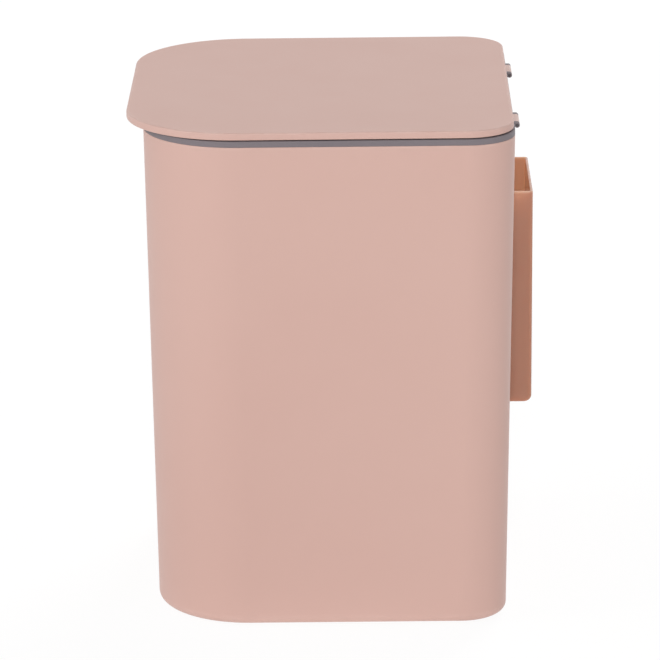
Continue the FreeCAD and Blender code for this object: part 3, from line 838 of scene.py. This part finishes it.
def pinShape(shell):
    half = hinge["knuckle"] / 2 + hinge["play"] + hinge["ear"] - hinge["pinRecess"]
    r, c = hinge["pin"], hinge["pinChamfer"]
    run = [(r - c, -half), (r, c - half), (r, half - c), (r - c, half)]
    turned(shell, run, "X", hinge["boreSteps"])
    bmesh.ops.translate(shell, verts=shell.verts, vec=Vector((0, hinge["axisY"], rimLevel)) * mm)


makeRing()
pairOf("hingeEars", earPair, hinge["spacing"], 0, "satinGrey", "ring", "grey_plastic")
pairOf("hingePins", pinShape, hinge["spacing"], 0, "pinSteel", "ring", "pin_steel",
       "hinge_pin_left", "hinge_pin_right")
print("ring and pins made")

# Lid's hinge arms, ribs and bumpers

lidUnder = {
    "rib": 1.4, "ribLow": 282.4, "ribShare": 0.4, "ribReach": 0.8, "sink": 0.1,
    "crossLift": 0.05,  # keeps the lower faces of the cross ribs off the plane of the long ribs
    "bumperSpacing": 110.0, "bumper": 4.0, "bumperY": -101.45, "bumperLow": 281.6, "bumperRound": 0.2,
    "bumperDeep": 0.7, "boss": 6.4, "bossLift": 0.05,
}


def armOutline():
    y, r, soft, steps = hinge["axisY"], hinge["barrel"], hinge["armRound"], hinge["armSteps"]
    front, back, tuck, ease = hinge["armFront"], hinge["armBack"], hinge["armTuck"], hinge["armEase"]
    root, heel, low = lidCeiling + lid["sink"], hinge["heelEase"], rimLevel + hinge["armClear"]
    meet = math.degrees(math.asin(hinge["armClear"] / r))
    inner, outer = lid["low"] + lid["innerRound"], lid["low"] + lid["lowRound"]
    # The arm draws in where it enters the lid's skirt, so that no two faces share a plane
    run = [(front + tuck, root), (front + tuck, inner + tuck), (front, inner - ease)]
    run += [(front, low + soft), (front + soft, low)]
    run += bend(y, rimLevel, r, 180 - meet, 270, steps)
    run += [(y + r - heel, rimLevel - r), (y + r, rimLevel - r + heel), (y + r, rimLevel)]
    run += bend(y, rimLevel, r, 0, 90, steps)[1:]
    run += bend(back + soft, rimLevel + r + soft, soft, 270, 180, hinge["softSteps"])
    run += [(back, outer - ease), (back - tuck, outer + tuck), (back - tuck, root)]
    return run


def armShape(shell):
    half = hinge["knuckle"] / 2
    slab(shell, armOutline(), [boreLoop(hinge["knuckleBore"])], -half, half)


def makeLidUnder():
    # The knuckles take a paler copy of the pink, a painted highlight
    pairOf("hingeArms", armShape, hinge["spacing"], 0, "palePink", "lid", "pink_plastic")
    ceiling = lidCeiling + lidUnder["sink"]
    half, front, back = drawnIn(tubOutline(rimLevel), lid["locatorInset"] + lidUnder["ribReach"])[:3]
    thick, low = lidUnder["rib"] / 2, lidUnder["ribLow"]
    across, along = lidUnder["ribShare"] * half, lidUnder["ribShare"] * (back - front) / 2
    middle, crossLow = (front + back) / 2, low + lidUnder["crossLift"]
    pieceRow("lidLongRibs", lambda s: bar(s, (-thick, front, low), (thick, back, ceiling)), 3,
             (-across, 0, 0), (across, 0, 0), "satinPink", "lid", "pink_plastic")
    pieceRow("lidCrossRibs", lambda s: bar(s, (-half, -thick, crossLow), (half, thick, ceiling)), 2,
             (0, middle - along, 0), (0, 2 * along, 0), "satinPink", "lid", "pink_plastic")
    x, y, r = lidUnder["bumperSpacing"], lidUnder["bumperY"], lidUnder["bumper"] / 2
    bottom, soft = lidUnder["bumperLow"], lidUnder["bumperRound"]
    boss = [(lidUnder["boss"] / 2, lid["low"] + lidUnder["bossLift"]), (lidUnder["boss"] / 2, ceiling)]
    pairOf("bumperBosses", lambda s: turned(s, boss, "Z"), x, y, "satinPink", "lid", "pink_plastic")
    run = [(r - soft, bottom), (r - soft / 4, bottom + soft / 4), (r, bottom + soft)]
    run.append((r, lid["low"] + lidUnder["bumperDeep"]))
    pairOf("lidBumpers", lambda s: turned(s, run, "Z"), x, y, "padRubber", "lid", "soft_rubber",
           "lid_bumper_left", "lid_bumper_right")


makeLidUnder()
print("lid's underside made")

# Rear pocket and the lugs that it hangs on

pocket = {
    "halfWidth": 40.5, "top": 231.6, "low": 107.6, "gap": 0.6, "reach": 11.95, "lean": 0.75,
    "wall": 1.5, "floor": 1.8, "corner": 1.7, "leastCorner": 0.35,
    "lowRound": 3.8, "sideRound": 0.8, "rimRound": 0.4,
    # Pale edge paint at the pocket's rim is wear and a painted highlight on the rounded rim
    "lowBand": 20.0, "rimBand": 12.0, "wearAndHighlightBand": 1.6, "wearAndHighlightRim": 0.9, "wearAndHighlightLow": 0.08,
    "lugSpacing": 44.0, "lugDrop": 18.0, "lugWidth": 4.0, "lugHeight": 6.0, "lugLip": 2.2,
    "lugHead": 1.5, "lugPlay": 0.3, "lugRoot": 0.3, "lugRound": 0.5,
    "lift": 12.0, "slotNear": 2.0, "slotFar": 1.2,  # the keyholes' cut, past both faces of the wall
    "steps": 8, "fineSteps": 4, "lowSteps": 10,
}


def rearWall(z):
    return tubOutline(z)[2]


def pocketLoop(z, inset):
    # One loop of the box, whose rear lower edge is rounded more than the others
    def cut(radius):
        rise = z - pocket["low"]
        if rise >= radius:
            return 0.0
        return radius - math.sqrt(max(radius * radius - (radius - rise) ** 2, 0))

    lean = pocket["lean"] * (pocket["top"] - z) / (pocket["top"] - pocket["low"])
    near = rearWall(z) + pocket["gap"] + inset
    far = tub["back"] + pocket["reach"] - lean - inset
    half = pocket["halfWidth"] - inset
    if inset < pocket["wall"] / 2:  # only the outside is rounded
        far -= cut(pocket["lowRound"])
        half -= cut(pocket["sideRound"])
    radius = max(pocket["corner"] - inset, pocket["leastCorner"])
    return outlineLoop((half, near, far, radius, radius), z, pocket["steps"])


def makePocket():
    low, top, wall, rim = pocket["low"], pocket["top"], pocket["wall"], pocket["rimRound"]
    fine, steps, wornAndHighlight = pocket["fineSteps"], pocket["lowSteps"], pocket["wearAndHighlightRim"]
    bands = [low + pocket["lowBand"], top - pocket["rimBand"], top - pocket["wearAndHighlightBand"]]
    run = [(wall, z, 0.0) for z in (low + pocket["floor"], *bands)]
    run += [(*p, wornAndHighlight) for p in bend(wall - rim, top - rim, rim, 0, 90, fine)]
    run += [(*p, wornAndHighlight) for p in bend(rim, top - rim, rim, 90, 180, fine)]
    run += [(0.0, z, 0.0) for z in reversed(bands)]
    for n in range(steps + 1):
        angle = math.radians(90 * n / steps)
        run.append((0.0, low + pocket["lowRound"] * (1 - math.sin(angle)), pocket["wearAndHighlightLow"]))
    loops = [(pocketLoop(z, inset), wearAndHighlightShare) for inset, z, wearAndHighlightShare in run]
    shell = bmesh.new()
    addLoops(shell, loops, capStart=True, capEnd=True)
    piece = asObject(asMesh(shell, "rearPocket"), "rearPocket")
    play, lip, lift = pocket["lugPlay"], pocket["lugLip"], pocket["lift"]
    neck, rise = pocket["lugWidth"] / 2 + play, pocket["lugHeight"] / 2 + play
    level = top - pocket["lugDrop"]
    foot, head = level - rise - lift, level + rise
    near = rearWall(level) - pocket["slotNear"]
    far = rearWall(level) + pocket["gap"] + wall + pocket["slotFar"]
    for side in (-1, 1):
        x = side * pocket["lugSpacing"] / 2
        carve(piece, [((x - neck, near, foot), (x + neck, far, head))])
        carve(piece, [((x - neck - lip, near, foot), (x + neck + lip, far, head - lift))])
    settled(piece, sharp=30)
    finished(piece, "satinTerracotta", "pocket", "terracotta_plastic", "bag_pocket")


def lugShape(shell):
    level = pocket["top"] - pocket["lugDrop"]
    root = rearWall(level) - pocket["lugRoot"]
    neckEnd = rearWall(level) + pocket["gap"] + pocket["wall"] + pocket["lugPlay"]
    half, rise, soft = pocket["lugWidth"] / 2, pocket["lugHeight"] / 2, pocket["lugRound"]
    wide = half + pocket["lugLip"]
    bar(shell, (-half, root, level - rise), (half, neckEnd, level + rise))
    head = []
    for x, z, start in ((wide, rise, 0), (-wide, rise, 90), (-wide, -rise, 180), (wide, -rise, 270)):
        cx, cz = x - math.copysign(soft, x), z - math.copysign(soft, z)
        head += [(a, level + b) for a, b in bend(cx, cz, soft, start, start + 90, pocket["fineSteps"])]
    slab(shell, head, [], neckEnd, neckEnd + pocket["lugHead"], "XZ")


makePocket()
pairOf("pocketLugs", lugShape, pocket["lugSpacing"], 0, "satinPink", "tub", "pink_plastic")
print("pocket and lugs made")

# Pads and ribs under the tub

under = {
    "foot": 10.0, "footHigh": 2.2, "footRound": 0.5, "roundStep": 15,  # step in degrees
    "frontFeet": (92.328, -77.428), "rearFeet": (100.324, 80.624),
    "rib": 1.8, "ribLow": 1.8, "ribShare": 0.33, "ribSink": 0.1, "ribReach": 0.2,
}


def makeUnder():
    r, soft = under["foot"] / 2, under["footRound"]
    turn = [math.radians(angle) for angle in range(0, 91, under["roundStep"])]
    run = [(r - soft + soft * math.sin(angle), soft - soft * math.cos(angle)) for angle in turn]
    run.append((r, under["footHigh"]))
    for name, (x, y), *nodes in (
            ("frontPads", under["frontFeet"], "foot_pad_front_left", "foot_pad_front_right"),
            ("rearPads", under["rearFeet"], "foot_pad_rear_left", "foot_pad_rear_right")):
        pairOf(name, lambda s: turned(s, run, "Z"), 2 * x, y, "padRubber", "tub", "soft_rubber", *nodes)
    half, front, back = drawnIn(tubOutline(tub["bottomBand"]), tub["standWidth"])[:3]
    x, thick, reach = under["ribShare"] * half, under["rib"] / 2, under["ribReach"]
    low, high = under["ribLow"], tub["standTop"] + under["ribSink"]
    pairOf("floorRibs", lambda s: bar(s, (-thick, front - reach, low), (thick, back + reach, high)),
           2 * x, 0, "satinPink", "tub", "pink_plastic")


makeUnder()
print("underside made")
